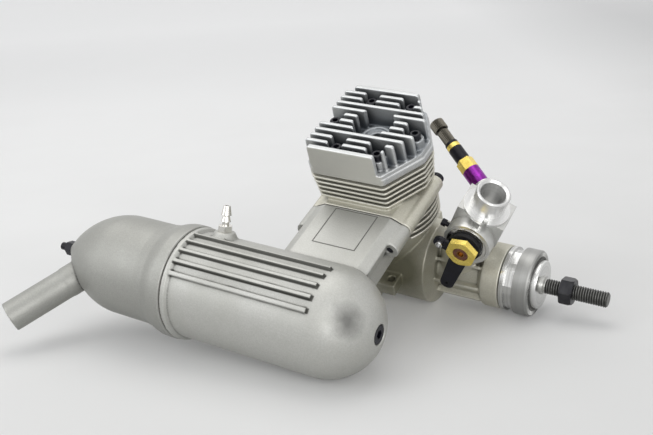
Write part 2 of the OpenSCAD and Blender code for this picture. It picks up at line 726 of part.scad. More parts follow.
module throttle_drum() {
    open_angle = 80;
    color("gray") carb_frame() difference() {
        union() {
            rod_y(drum_front + 0.2, housing_back - 2.3, drum_d / 2);
            rod_y(hex_back - 0.4, drum_front + 1, 4);
        }
        rotate([0, -open_angle, 0]) translate([0, 0, -20]) cylinder(d = throat_d - 1, h = 40);
        rod_y(hex_back - 8, drum_front + 8, 1.9);
        rod_y(-8, housing_back, 1.6);
    }
}
module drum_boot() {
    color("black") carb_frame() tube_y(drum_front - boot_t, drum_front + 0.1, drum_d / 2 - 0.3, 4.05);
}
module throttle_arm() {
    w = 7.4;
    y1 = drum_front - boot_t - 0.1;
    lobe = [arm_screw_place.x, -arm_screw_place.y];
    color("black") carb_frame() difference() {
        on_y(y1 - arm_t + 0.05) linear_extrude(arm_t - 0.05) union() {
            circle(r = 6.6);
            polygon([[-5, 0], [5, 0], [w / 2, arm_len], [-w / 2, arm_len]]);
            translate([0, arm_len]) circle(d = w);
            translate(lobe) circle(r = 3.6);
            translate(lobe - [0, 3.2]) square([-lobe.x, 6]);
        }
        rod_y(y1 - 5, y1 + 5, 4.05);
        translate([0, 0, -arm_len]) rod_y(y1 - 5, y1 + 5, 0.9);
        translate([arm_screw_place.x, 0, arm_screw_place.y]) rod_y(y1 - 5, y1 + 5, 1.1);
    }
}
module arm_screw() {
    y1 = drum_front - boot_t - 0.1 - arm_t;
    color("silver") carb_frame() translate([arm_screw_place.x, y1, arm_screw_place.y]) rotate([90, 0, 0])
        cap_screw(2, arm_t + 1.6, 1.9, 1.9);
}
module throttle_nut() {
    color("gold") carb_frame() difference() {
        on_y(hex_back - 3.2) rotate([0, 0, 30]) intersection() {
            hex_rod(14.4, 3.2);
            cylinder(r1 = 7.5, r2 = 12, h = 3.2);
        }
        rod_y(hex_back - 4, hex_back + 1, 4.05);
    }
}
module idle_mixture_screw() {
    color("saddlebrown") carb_frame() {
        difference() {
            rod_y(hex_back - 2.9, hex_back - 0.5, 3.9);
            on_y(hex_back - 3.4) hex_rod(3, 2);
        }
        rod_y(hex_back - 0.6, -7.6, 1.86);
        on_y(-7.6 - eps) cylinder(r1 = 1.5, r2 = 0.5, h = 6);
    }
}
module fuel_nipple() {
    color("goldenrod") needle_frame(fuel_nipple_at) on_x() difference() {
        union() {
            translate([0, 0, 2.6]) cylinder(r = 1.2, h = 4);
            translate([0, 0, 5.7]) hex_rod(5, 2.2);
            translate([0, 0, 7.8]) cylinder(r = 1.4, h = 7);
            translate([0, 0, 12.2]) cylinder(r1 = 2, r2 = 1.4, h = 2.6);
        }
        translate([0, 0, 2]) cylinder(r = 0.8, h = 15);
    }
}

// ring around the needle from s0 to s1
module needle_part(s0, s1, r, bore) {
    needle_frame(s0) difference() {
        cylinder(r = r, h = s1 - s0);
        translate([0, 0, -1]) cylinder(r = bore, h = s1 - s0 + 2);
    }
}
module needle_ring_at(i, r) { needle_part(needle_steps[i] + seat_gap, needle_steps[i + 1], r, 1.3); }
module needle_collar() { color("purple") needle_ring_at(0, 4.8); }
module needle_hex() {
    color("gold") needle_frame(needle_steps[1] + seat_gap) difference() {
        hex_rod(8.4, needle_steps[2] - needle_steps[1] - seat_gap);
        translate([0, 0, -1]) cylinder(r = 1.3, h = 9);
    }
}
module needle_sleeve() { color("black") needle_ring_at(2, 3.9); }
module needle_ring() { color("gold") needle_ring_at(3, 3.8); }
module ratchet_spring() {
    color("black") {
        needle_ring_at(4, 3.7);
        needle_frame(needle_steps[4] + seat_gap) rotate([0, 0, -60]) translate([3.5, -1.6, 0])
            cube([0.8, 3.2, 11.6]);
    }
}
module needle_stem() {
    color("silver") needle_frame() {
        translate([0, 0, 3]) cylinder(r1 = 0.3, r2 = 1.25, h = 5);
        translate([0, 0, 8 - eps]) cylinder(r = 1.25, h = needle_len - 12);
    }
}
module needle_knob() {
    knob_r = 3.7;
    color("gray") needle_frame() difference() {
        union() {
            translate([0, 0, needle_steps[5] + 0.4]) cylinder(r = 3, h = needle_len - needle_steps[5]);
            translate([0, 0, needle_len]) cylinder(r = knob_r, h = 5.4);
            translate([0, 0, needle_len + 5.4 - eps]) cylinder(r1 = knob_r, r2 = knob_r - 0.5, h = 0.5);
        }
        translate([0, 0, 40]) cylinder(r = 1.25 + seat_gap, h = needle_len - 44 + 0.1);
    }
}

module exhaust_gasket() {
    color("dimgray") difference() {
        duct_block(-duct_joint - 0.35, -duct_joint - 0.05);
        duct_passage(-duct_joint - 2, -duct_joint + 1);
        for (s = [-1, 1]) translate([s * duct_screw_span / 2, 0, duct_screw_z])
            rod_y(-duct_joint - 2, -duct_joint + 1, duct_screw_d / 2 + 0.15);
    }
}
module silencer_screws() {
    color("black") for (s = [-1, 1]) translate([s * duct_screw_span / 2, column_back, duct_screw_z])
        rotate([-90, 0, 0]) cap_screw(duct_screw_d, column_back + column_front - 0.6, 3.3, 3.6);
}

module silencer_front() {
    start = muf_joint + 0.6;
    dome = muf_nose - muf_r;
    n = 20;
    shell_r = muf_r - muf_wall;
    color("silver") difference() {
        union() {
            silencer_frame() difference() {
                on_x() rotate_extrude($fn = 96) polygon(concat([[0, start], [muf_ring_r - 0.4, start],
                    [muf_ring_r - 0.4, start + 2], [muf_r, start + 3.4]],
                    [for (i = [0:n]) [muf_r * cos(90 * i / n), dome + muf_r * sin(90 * i / n)]]));
                on_x() rotate_extrude($fn = 96) polygon(concat([[0, start - 1], [shell_r, start - 1]],
                    [for (i = [0:n]) [shell_r * cos(90 * i / n), dome + shell_r * sin(90 * i / n)]]));
            }
            // stiffening ribs on top
            silencer_frame() for (i = [0:muf_ribs - 1])
                rotate([71 + muf_rib_step * i, 0, 0]) translate([start + 1, muf_r - 1, -1.1])
                    cube([16.6 - start - 1, 2.4, 2.2]);
            // bolt boss inside the dome
            silencer_frame() rod_x(muf_nose - 12, muf_nose - 2, 7);
            // boss of the pressure nipple
            pressure_nipple_frame() translate([0, 0, muf_r - 3]) cylinder(r1 = 8, r2 = 5, h = 6);
            difference() {
                union() {
                    duct_block(-duct_end, -duct_joint - 0.4);
                    duct_columns(-column_front, -duct_joint - 0.4);
                }
                silencer_frame() rod_x(-40, 40, muf_r - 0.6);
            }
        }
        duct_passage(-duct_end - 4, -duct_joint + 1);
        silencer_frame() rod_x(-40, muf_nose + 5, through_d / 2 + 0.2);
        silencer_frame() rod_x(muf_nose - 5.2, muf_nose + 5, 4.9);
        pressure_nipple_frame() cylinder(r = 1.9, h = 40);
        for (s = [-1, 1]) translate([s * duct_screw_span / 2, 0, duct_screw_z])
            rod_y(-column_front - 1, -duct_joint + 1, duct_screw_d / 2 + 0.05);
    }
}
module silencer_seal() {
    color("dimgray") silencer_frame() tube_x(muf_joint + 0.05, muf_joint + 0.55, muf_ring_r - 0.9,
        muf_r - muf_wall);
}
module silencer_rear() {
    straight = tail_len - tail_cone;
    n = 24;
    // outer radius of the cone at a share t of its length
    function cone(t, r) = r * (1 - pow(t, 1.95));
    inner = tail_r - muf_wall;
    color("silver") silencer_frame() {
        difference() {
            union() {
                translate([muf_joint, 0, 0]) rotate([0, -90, 0]) rotate_extrude($fn = 96)
                    polygon(concat([[0, 0], [muf_ring_r, 0], [muf_ring_r, 6], [muf_ring_r - 0.6, 8.6],
                        [tail_r + 0.9, 13], [tail_r, 19]],
                        [for (i = [0:n]) [cone(i / n, tail_r), straight + tail_cone * i / n]]));
                rod_x(tail_tip - 1, tail_tip + 5, tail_end_boss);
                translate([0, muf_y, -muf_z]) pipe_frame() {
                    cylinder(d = pipe_d, h = pipe_len);
                    cylinder(d = pipe_d + 0.6, h = pipe_len * 0.42);
                }
            }
            translate([muf_joint + 1, 0, 0]) rotate([0, -90, 0]) rotate_extrude($fn = 96)
                polygon(concat([[0, 0], [inner, 0]],
                    [for (i = [0:n]) [cone(i / n, inner), straight + (tail_cone - 5) * i / n]]));
            rod_x(tail_tip - 9, muf_joint, through_d / 2 + 0.2);
            rod_x(tail_tip - 9, tail_tip, 2 * tail_end_boss);
            translate([0, muf_y, -muf_z]) pipe_frame() translate([0, 0, 4])
                cylinder(d = pipe_d - 2 * pipe_wall, h = pipe_len);
        }
    }
}
module through_bolt() {
    color("black") silencer_frame() {
        difference() {
            rod_x(muf_nose - 5.15, muf_nose - 0.9, 4.4);
            on_x(muf_nose - 3.4) hex_rod(4, 5);
        }
        rod_x(tail_tip - 9, muf_nose - 5, through_d / 2);
    }
}
module through_nut() {
    color("black") silencer_frame() on_x(tail_tip - 4.4) difference() {
        hex_rod(7, 4.3);
        translate([0, 0, -1]) cylinder(d = through_d + 2 * seat_gap, h = 8);
    }
}
module pressure_nipple() {
    base = muf_r + 3.05;
    color("lightgray") pressure_nipple_frame() difference() {
        union() {
            translate([0, 0, base - 6]) cylinder(r = 1.85, h = 7);
            translate([0, 0, base]) hex_rod(6.4, 3);
            translate([0, 0, base + 2.9]) cylinder(r = 1.7, h = 9);
            translate([0, 0, base + 8.2]) cylinder(r1 = 2.6, r2 = 1.7, h = 4.6);
            translate([0, 0, base + 5]) cylinder(r1 = 2.5, r2 = 1.7, h = 2.6);
        }
        cylinder(r = 0.9, h = 60);
    }
}

crankcase();
cylinder_liner();
cylinder_head();
head_gasket();
head_bolts();
backplate();
backplate_gasket();
backplate_screws();
rear_bearing();
front_bearing();
crankshaft();
drive_collet();
drive_hub();
prop_washer();
prop_nut();
piston();
wrist_pin();
pin_clips();
connecting_rod();
rod_bushes();
carb_body();
carb_throat();
carb_seal();
carb_clamp_screw();
idle_stop_screw();
drum_retainer();
throttle_drum();
drum_boot();
throttle_arm();
throttle_nut();
arm_screw();
idle_mixture_screw();
fuel_nipple();
needle_collar();
needle_hex();
needle_sleeve();
needle_ring();
ratchet_spring();
needle_stem();
needle_knob();
exhaust_gasket();
silencer_screws();
silencer_front();
silencer_seal();
silencer_rear();
through_bolt();
through_nut();
pressure_nipple();
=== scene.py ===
# Glow engine for a model aircraft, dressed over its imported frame.
import json
import math
import bpy
import bmesh
from mathutils import Matrix, Vector


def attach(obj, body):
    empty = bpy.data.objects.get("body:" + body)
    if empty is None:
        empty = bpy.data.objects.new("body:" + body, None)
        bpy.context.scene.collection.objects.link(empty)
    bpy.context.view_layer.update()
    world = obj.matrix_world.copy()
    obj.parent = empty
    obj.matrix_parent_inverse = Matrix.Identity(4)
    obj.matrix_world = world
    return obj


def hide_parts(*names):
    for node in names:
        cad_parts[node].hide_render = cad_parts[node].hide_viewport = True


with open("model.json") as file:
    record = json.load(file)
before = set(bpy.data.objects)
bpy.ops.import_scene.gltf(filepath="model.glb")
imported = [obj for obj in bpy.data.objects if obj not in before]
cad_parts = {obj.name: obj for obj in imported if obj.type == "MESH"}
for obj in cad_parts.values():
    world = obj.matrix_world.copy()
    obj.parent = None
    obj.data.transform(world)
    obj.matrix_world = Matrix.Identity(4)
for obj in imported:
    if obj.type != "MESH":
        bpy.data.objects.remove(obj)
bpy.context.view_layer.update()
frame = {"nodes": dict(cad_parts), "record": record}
nodes = frame["nodes"]
bodyOf = {node: body for body, members in frame["record"]["behaviour"]["bodies"].items()
          for node in members}
print("frame loaded:", len(nodes), "nodes")


# places shared by several pieces
carbPlace = {"x": 0.05, "z": 0.0335, "lean": 24, "needleRoot": 0.0198, "needleAngle": 56.8}
silencerPlace = {"y": -0.0908, "z": 0.044}
carbFrame = (Matrix.Translation((carbPlace["x"], 0, carbPlace["z"]))
             @ Matrix.Rotation(math.radians(carbPlace["lean"]), 4, "Y"))
needleFrame = (carbFrame @ Matrix.Translation((0, carbPlace["needleRoot"], 0))
               @ Matrix.Rotation(math.radians(90 + carbPlace["needleAngle"]), 4, "Z")
               @ Matrix.Rotation(math.radians(90), 4, "Y"))
shaftFrame = Matrix.Rotation(math.radians(90), 4, "Y")
drumFrame = carbFrame @ Matrix.Rotation(math.radians(90), 4, "X")


# shader groups
def newGroup(name, inputs, outputs):
    group = bpy.data.node_groups.new(name, "ShaderNodeTree")
    for label, kind, value in inputs:
        socket = group.interface.new_socket(name=label, in_out="INPUT", socket_type=kind)
        socket.default_value = value
    for label, kind in outputs:
        group.interface.new_socket(name=label, in_out="OUTPUT", socket_type=kind)
    return group, group.nodes.new("NodeGroupInput"), group.nodes.new("NodeGroupOutput")


def addNode(tree, kind, links=None, **settings):
    node = tree.nodes.new(kind)
    for key, value in settings.items():
        setattr(node, key, value)
    for socket, source in (links or {}).items():
        target = node.inputs[socket]
        if isinstance(source, bpy.types.NodeSocket):
            tree.links.new(source, target)
        else:
            target.default_value = source
    return node


def mathNode(tree, operation, a, b=0.0, clamp=False):
    return addNode(tree, "ShaderNodeMath", {0: a, 1: b}, operation=operation,
                   use_clamp=clamp).outputs[0]


def mapRange(tree, value, low, high, toLow=0.0, toHigh=1.0):
    return addNode(tree, "ShaderNodeMapRange",
                   {0: value, 1: low, 2: high, 3: toLow, 4: toHigh}).outputs[0]


def times(tree, a, b):
    return mathNode(tree, "MULTIPLY", a, b)


def minus(tree, a, b):
    return mathNode(tree, "SUBTRACT", a, b)


def awayFrom(tree, value, middle):
    return mathNode(tree, "ABSOLUTE", minus(tree, value, middle))


def fromAxis(tree, parts):
    squares = [times(tree, parts.outputs[index], parts.outputs[index]) for index in (0, 1)]
    return mathNode(tree, "SQRT", mathNode(tree, "ADD", *squares))


def noise(tree, vector, scale, detail, **more):
    links = {"Vector": vector, "Scale": scale, "Detail": detail}
    links.update({label.title(): value for label, value in more.items()})
    return addNode(tree, "ShaderNodeTexNoise", links).outputs[0]


blasted = {"fineDetail": 3.0, "fineRoughness": 0.65, "coarseScale": 0.22, "coarseDetail": 2.0,
           "blotchDetail": 4.0, "blotchRoughness": 0.6, "fineShare": 0.65, "coarseShare": 0.35,
           "toneLow": 0.3, "toneHigh": 0.7, "blotchLow": 0.38, "blotchHigh": 0.68}


def blastedGrainGroup():
    group, start, end = newGroup(
        "blastedGrain",
        [("Vector", "NodeSocketVector", (0, 0, 0)), ("Grain", "NodeSocketFloat", 3200.0),
         ("Blotch", "NodeSocketFloat", 70.0)],
        [("Height", "NodeSocketFloat"), ("Tone", "NodeSocketFloat"),
         ("Blotches", "NodeSocketFloat")])
    vector, grain = start.outputs["Vector"], start.outputs["Grain"]
    fine = noise(group, vector, grain, blasted["fineDetail"], roughness=blasted["fineRoughness"])
    coarse = noise(group, vector, times(group, grain, blasted["coarseScale"]),
                   blasted["coarseDetail"])
    blotch = noise(group, vector, start.outputs["Blotch"], blasted["blotchDetail"],
                   roughness=blasted["blotchRoughness"])
    height = mathNode(group, "ADD", times(group, fine, blasted["fineShare"]),
                      times(group, coarse, blasted["coarseShare"]))
    group.links.new(height, end.inputs["Height"])
    group.links.new(mapRange(group, fine, blasted["toneLow"], blasted["toneHigh"]),
                    end.inputs["Tone"])
    group.links.new(mapRange(group, blotch, blasted["blotchLow"], blasted["blotchHigh"]),
                    end.inputs["Blotches"])
    return group


edgeWearSheenLevels = {"detail": 3.0, "ragged": 0.05, "above": 0.51, "below": 0.49}


# masks: sharp edges, for colour that is partly wear and partly painted highlight; hollows, for
# painted shade
def edgeWearSheenHollowGroup():
    group, start, end = newGroup(
        "edgeWearSheenHollow",
        [("Spread", "NodeSocketFloat", 0.05), ("Noise Scale", "NodeSocketFloat", 500.0),
         ("Vector", "NodeSocketVector", (0, 0, 0))],
        [("Edge", "NodeSocketFloat"), ("Hollow", "NodeSocketFloat")])
    shape = addNode(group, "ShaderNodeNewGeometry")
    rough = noise(group, start.outputs["Vector"], start.outputs["Noise Scale"], edgeWearSheenLevels["detail"])
    ragged = times(group, minus(group, rough, 0.5), edgeWearSheenLevels["ragged"])
    pointed = mathNode(group, "ADD", shape.outputs["Pointiness"], ragged)
    high = mathNode(group, "ADD", start.outputs["Spread"], edgeWearSheenLevels["above"])
    low = minus(group, edgeWearSheenLevels["below"], start.outputs["Spread"])
    group.links.new(mapRange(group, pointed, edgeWearSheenLevels["above"], high), end.inputs["Edge"])
    group.links.new(mapRange(group, shape.outputs["Pointiness"], edgeWearSheenLevels["below"], low),
                    end.inputs["Hollow"])
    return group


turnedMarks = {"fineDetail": 2.0, "wideScale": 0.12, "wideDetail": 3.0, "low": 0.3, "high": 0.7}


def turnedRingsGroup():
    group, start, end = newGroup(
        "turnedRings",
        [("Vector", "NodeSocketVector", (0, 0, 0)), ("Fineness", "NodeSocketFloat", 9000.0)],
        [("Height", "NodeSocketFloat"), ("Streaks", "NodeSocketFloat")])
    parts = addNode(group, "ShaderNodeSeparateXYZ", {0: start.outputs["Vector"]})
    rings = addNode(group, "ShaderNodeCombineXYZ",
                    {0: fromAxis(group, parts), 2: parts.outputs[2]}).outputs[0]
    fine = noise(group, rings, start.outputs["Fineness"], turnedMarks["fineDetail"])
    wide = noise(group, rings, times(group, start.outputs["Fineness"], turnedMarks["wideScale"]),
                 turnedMarks["wideDetail"])
    group.links.new(fine, end.inputs["Height"])
    group.links.new(mapRange(group, wide, turnedMarks["low"], turnedMarks["high"]),
                    end.inputs["Streaks"])
    return group


grainGroup = blastedGrainGroup()
wearSheenHollowGroup = edgeWearSheenHollowGroup()
ringsGroup = turnedRingsGroup()
print("shader groups made")


# materials
def startMaterial(name):
    material = bpy.data.materials.new(name)
    material.use_nodes = True
    tree = material.node_tree
    tree.nodes.clear()
    output = tree.nodes.new("ShaderNodeOutputMaterial")
    shader = tree.nodes.new("ShaderNodeBsdfPrincipled")
    tree.links.new(shader.outputs[0], output.inputs[0])
    return material, tree, shader


def placedVector(tree, place=None):
    coords = addNode(tree, "ShaderNodeTexCoord").outputs["Object"]
    if place is None:
        return coords
    turn = place.inverted()
    return addNode(tree, "ShaderNodeMapping", {
        "Vector": coords, "Location": turn.translation, "Rotation": turn.to_euler()}).outputs[0]


def groupIn(tree, group, **links):
    node = tree.nodes.new("ShaderNodeGroup")
    node.node_tree = group
    for label, source in links.items():
        target = node.inputs[label.replace("_", " ")]
        if isinstance(source, bpy.types.NodeSocket):
            tree.links.new(source, target)
        else:
            target.default_value = source
    return node


def mixColour(tree, factor, a, b, blend="MIX"):
    node = tree.nodes.new("ShaderNodeMix")
    node.data_type = "RGBA"
    node.blend_type = blend
    for index, source in ((0, factor), (6, a), (7, b)):  # 6 and 7 are the colour sockets
        if isinstance(source, bpy.types.NodeSocket):
            tree.links.new(source, node.inputs[index])
        else:
            node.inputs[index].default_value = source if index == 0 else (*source, 1)
    return node.outputs[2]


sampling = {"edge": 6, "shade": 8}


def bumped(tree, height, look):
    links = {"Strength": look["bump"], "Distance": look["bumpReach"], "Height": height}
    if look["softEdge"]:
        soft = addNode(tree, "ShaderNodeBevel", {"Radius": look["softEdge"]},
                       samples=sampling["edge"])
        links["Normal"] = soft.outputs[0]
    return addNode(tree, "ShaderNodeBump", links).outputs[0]


def partsOf(tree, vector):
    return addNode(tree, "ShaderNodeSeparateXYZ", {0: vector})


def castMetal(name, look):
    material, tree, shader = startMaterial(name)
    coords = placedVector(tree)
    grain = groupIn(tree, grainGroup, Vector=coords, Grain=look["grain"], Blotch=look["blotch"])
    wearSheenHollow = groupIn(tree, wearSheenHollowGroup, Vector=coords, Spread=look["spread"])
    colour = mixColour(tree, grain.outputs["Tone"], look["dark"], look["light"])
    colour = mixColour(tree, times(tree, grain.outputs["Blotches"], look["blotchShare"]), colour,
                       look["stain"])
    # painted shade: the shade colour goes into hollows
    colour = mixColour(tree, times(tree, wearSheenHollow.outputs["Hollow"], look["hollowShadeShare"]), colour,
                       look["shadeColour"])
    # sharp edges lighter: partly wear, partly painted highlight
    colour = mixColour(tree, times(tree, wearSheenHollow.outputs["Edge"], look["edgeShare"]), colour,
                       look["edge"])
    # painted shade in corners, from ambient occlusion
    shade = addNode(tree, "ShaderNodeAmbientOcclusion", {"Distance": look["shadeReach"]},
                    samples=sampling["shade"], only_local=True).outputs["AO"]
    shade = mapRange(tree, shade, look["shadeOpen"], look["shadeShut"], 0, look["shadeShare"])
    colour = mixColour(tree, shade, colour, look["shadeColour"])
    if "spot" in look:
        colour = darkSpot(tree, coords, colour, look["spot"])
    if "finLightAndShade" in look:
        colour = shadedFins(tree, coords, colour, look["finLightAndShade"])
    if "ribs" in look:
        colour = mixColour(tree, ribShade(tree, coords, look["ribs"]), colour, look["shadeColour"])
    height = grain.outputs["Height"]
    if "groove" in look:
        line = grooveMask(tree, coords, look["groove"])
        colour = mixColour(tree, times(tree, line, look["groove"]["share"]), colour,
                           look["shadeColour"])
        height = minus(tree, height, times(tree, line, look["groove"]["depth"]))
    tree.links.new(colour, shader.inputs["Base Color"])
    rough = mapRange(tree, grain.outputs["Blotches"], 0, 1, look["rough"],
                     look["rough"] + look["roughSpread"])
    rough = minus(tree, rough, times(tree, wearSheenHollow.outputs["Edge"], look["edgePolish"]))
    tree.links.new(rough, shader.inputs["Roughness"])
    shader.inputs["Metallic"].default_value = look["metallic"]
    tree.links.new(bumped(tree, height, look), shader.inputs["Normal"])
    return material


# dark patch with a ragged edge: painted shadow on the crankcase, a darker grey patch on the dome
def darkSpot(tree, coords, colour, spot):
    near = addNode(tree, "ShaderNodeVectorMath", {0: coords, 1: spot["centre"]},
                   operation="DISTANCE").outputs["Value"]
    ragged = noise(tree, coords, spot["noiseScale"], spot["noiseDetail"])
    near = mathNode(tree, "ADD", near, times(tree, ragged, spot["ragged"]))
    patch = mapRange(tree, near, spot["radius"], spot["radius"] * spot["core"])
    return mixColour(tree, times(tree, patch, spot["share"]), colour, spot["colour"])


# head: painted shade, darker between the fins; painted light, warmer and lighter on the front face
def shadedFins(tree, coords, colour, finLightAndShade):
    parts = partsOf(tree, coords)
    facing = partsOf(tree, addNode(tree, "ShaderNodeNewGeometry").outputs["Normal"])
    outside = times(tree, mapRange(tree, facing.outputs[1], finLightAndShade["facingFrom"], finLightAndShade["facingTo"]),
                    mapRange(tree, parts.outputs[1], finLightAndShade["face"] + finLightAndShade["blur"], finLightAndShade["face"]))
    sunk = mapRange(tree, parts.outputs[2], finLightAndShade["top"], finLightAndShade["bottom"], 0, finLightAndShade["share"])
    sunk = times(tree, sunk, minus(tree, 1.0, outside))
    sunk = times(tree, sunk, mapRange(tree, parts.outputs[2], finLightAndShade["slab"],
                                      finLightAndShade["slab"] + finLightAndShade["blur"]))
    corner = minus(tree, parts.outputs[0], parts.outputs[1])
    sunk = times(tree, sunk, mapRange(tree, corner, finLightAndShade["corner"],
                                      finLightAndShade["corner"] - finLightAndShade["cornerBlur"]))
    colour = mixColour(tree, sunk, colour, finLightAndShade["colour"])
    return mixColour(tree, times(tree, outside, finLightAndShade["paintedFrontLightShare"]), colour, finLightAndShade["paintedFrontLight"])


# painted shade on the lower side and end of each stiffening rib, found from its turn about the
# silencer's axis
def ribShade(tree, coords, ribs):
    parts = partsOf(tree, coords)
    turn = mathNode(tree, "ARCTAN2", minus(tree, parts.outputs[2], silencerPlace["z"]),
                    minus(tree, parts.outputs[1], silencerPlace["y"]))
    turn = minus(tree, mathNode(tree, "DEGREES", turn), ribs["first"])
    near = mathNode(tree, "FRACT", mathNode(tree, "ADD", mathNode(
        tree, "DIVIDE", turn, ribs["step"]), 0.5))
    side = times(tree, minus(tree, near, 0.5), ribs["step"])
    line = mapRange(tree, awayFrom(tree, side, ribs["side"]), ribs["half"],
                    ribs["half"] * ribs["core"])
    last = ribs["step"] * (ribs["count"] - 1)
    share = mapRange(tree, turn, last - ribs["lastFrom"], last - ribs["lastTo"], ribs["share"],
                     ribs["lastShare"])
    line = times(tree, line, share)
    tip = awayFrom(tree, parts.outputs[0], ribs["tip"])
    tip = times(tree, mapRange(tree, tip, ribs["tipHalf"], ribs["tipHalf"] * ribs["tipCore"]),
                mapRange(tree, mathNode(tree, "ABSOLUTE", side), *ribs["tipTurn"]))
    line = mathNode(tree, "MAXIMUM", line, times(tree, tip, ribs["share"]))
    outer, inner = ribs["past"]
    for low, high in ((-outer, -inner), (last + outer, last + inner)):
        line = times(tree, line, mapRange(tree, turn, low, high))
    for low, high in ((ribs["start"], ribs["start"] + ribs["blur"]),
                      (ribs["end"], ribs["end"] - ribs["blur"])):
        line = times(tree, line, mapRange(tree, parts.outputs[0], low, high))
    return line


# thin cut rectangle on the exhaust duct, bumped in, with painted shade in the cut
def grooveMask(tree, coords, groove):
    parts = partsOf(tree, coords)
    sides = [minus(tree, awayFrom(tree, parts.outputs[axis], groove["centre"][axis]),
                   groove["half"][axis]) for axis in (0, 1)]
    reach = mathNode(tree, "MAXIMUM", *sides)
    line = mapRange(tree, mathNode(tree, "ABSOLUTE", reach), groove["width"],
                    groove["width"] * groove["core"])
    level = awayFrom(tree, parts.outputs[2], groove["z"])
    return times(tree, line, mathNode(tree, "LESS_THAN", level, groove["levelHalf"]))


# satin front part of the hub, with painted shade in a dark ring inside its serrations
def satinZone(tree, coords, colour, rough, satin):
    parts = partsOf(tree, coords)
    past = mapRange(tree, parts.outputs[2], satin["start"], satin["start"] + satin["blur"])
    colour = mixColour(tree, times(tree, past, satin["share"]), colour, satin["tone"])
    rough = mathNode(tree, "ADD", rough, times(tree, past, satin["rougher"]))
    ring = awayFrom(tree, fromAxis(tree, parts), satin["ringMiddle"])
    ring = mapRange(tree, ring, satin["ringHalf"], satin["ringHalf"] - satin["ringBlur"])
    ring = times(tree, ring, mapRange(tree, parts.outputs[2], *satin["ringDepth"]))
    return mixColour(tree, ring, colour, satin["ringShade"]), rough


def turnedMetal(name, look, place):
    material, tree, shader = startMaterial(name)
    coords = placedVector(tree, place)
    rings = groupIn(tree, ringsGroup, Vector=coords, Fineness=look["fineness"])
    colour = mixColour(tree, rings.outputs["Streaks"], look["dark"], look["light"])
    rough = mapRange(tree, rings.outputs["Streaks"], 0, 1, look["rough"] + look["roughSpread"],
                     look["rough"])
    if "satin" in look:
        colour, rough = satinZone(tree, coords, colour, rough, look["satin"])
    tree.links.new(colour, shader.inputs["Base Color"])
    tree.links.new(rough, shader.inputs["Roughness"])
    shader.inputs["Metallic"].default_value = look["metallic"]
    tree.links.new(bumped(tree, rings.outputs["Height"], look), shader.inputs["Normal"])
    return material


def plainFinish(name, look):
    material, tree, shader = startMaterial(name)
    coords = placedVector(tree)
    grain = groupIn(tree, grainGroup, Vector=coords, Grain=look["grain"], Blotch=look["blotch"])
    wearSheenHollow = groupIn(tree, wearSheenHollowGroup, Vector=coords, Spread=look["spread"])
    colour = mixColour(tree, grain.outputs["Blotches"], look["dark"], look["light"])
    # sharp edges lighter: partly wear, partly painted highlight
    colour = mixColour(tree, times(tree, wearSheenHollow.outputs["Edge"], look["edgeShare"]), colour,
                       look["edge"])
    shader.inputs["Metallic"].default_value = look["metallic"]
    shader.inputs["Specular IOR Level"].default_value = look["gloss"]
    if "zone" in look:
        zone = look["zone"]
        parts = partsOf(tree, placedVector(tree, zone["place"]))
        reach = fromAxis(tree, parts) if zone["kind"] == "core" else parts.outputs[2]
        inside = mapRange(tree, reach, zone["limit"], zone["limit"] - look["zoneBlur"])
        colour = mixColour(tree, inside, colour, zone["tone"])
        tree.links.new(mapRange(tree, inside, 0, 1, look["metallic"], 1.0),
                       shader.inputs["Metallic"])
    tree.links.new(colour, shader.inputs["Base Color"])
    tree.links.new(mapRange(tree, grain.outputs["Blotches"], 0, 1, look["rough"] - look["smoother"],
                            look["rough"] + look["rougher"]), shader.inputs["Roughness"])
    tree.links.new(bumped(tree, grain.outputs["Height"], look), shader.inputs["Normal"])
    return material


castLook = {"dark": (0.51, 0.495, 0.42), "light": (0.66, 0.645, 0.565),
            "stain": (0.47, 0.45, 0.365), "shadeColour": (0.10, 0.095, 0.07),
            "edge": (0.78, 0.775, 0.74), "blotchShare": 0.4, "hollowShadeShare": 0.8,
            "edgeShare": 0.35, "spread": 0.05, "grain": 1500.0, "blotch": 45.0, "rough": 0.48,
            "roughSpread": 0.08, "edgePolish": 0.12, "metallic": 0.7, "bump": 0.75,
            "bumpReach": 0.00012, "softEdge": 0.0, "shadeReach": 0.004, "shadeOpen": 0.75,
            "shadeShut": 0.25, "shadeShare": 0.7}
spotNoise = {"noiseScale": 160.0, "noiseDetail": 5.0, "core": 0.35, "share": 0.85}
# painted shadow low on the crankcase, behind the lug
crankcaseLook = dict(castLook, spot=dict(spotNoise, centre=(0.012, -0.02, 0.009), radius=0.027,
                                         ragged=0.004, colour=(0.13, 0.125, 0.075)))
shellLook = dict(castLook, dark=(0.44, 0.44, 0.415), light=(0.53, 0.53, 0.505),
                 stain=(0.4, 0.4, 0.365), shadeColour=(0.04, 0.04, 0.034), edge=(0.7, 0.7, 0.67),
                 blotchShare=0.35, bump=0.6, rough=0.47, metallic=0.65, hollowShadeShare=0.95,
                 edgeShare=0.1, spread=0.03, shadeReach=0.003, shadeOpen=0.93, shadeShut=0.5,
                 shadeShare=0.97)
ribLines = {"first": 71, "step": 13.1, "count": 5, "side": 2.2, "half": 1.6, "core": 0.55,
            "share": 0.93, "lastShare": 0.12, "lastFrom": 8, "lastTo": 6, "start": -0.0606,
            "end": 0.0176, "blur": 0.0006, "tip": 0.0168, "tipHalf": 0.0008, "tipCore": 0.5,
            "tipTurn": (3.0, 2.4), "past": (6, 5)}
ductOutline = {"centre": (0.0003, -0.0435), "half": (0.0117, 0.0125), "width": 0.0004,
               "core": 0.4, "share": 0.75, "depth": 6.0, "z": 0.056, "levelHalf": 0.001}
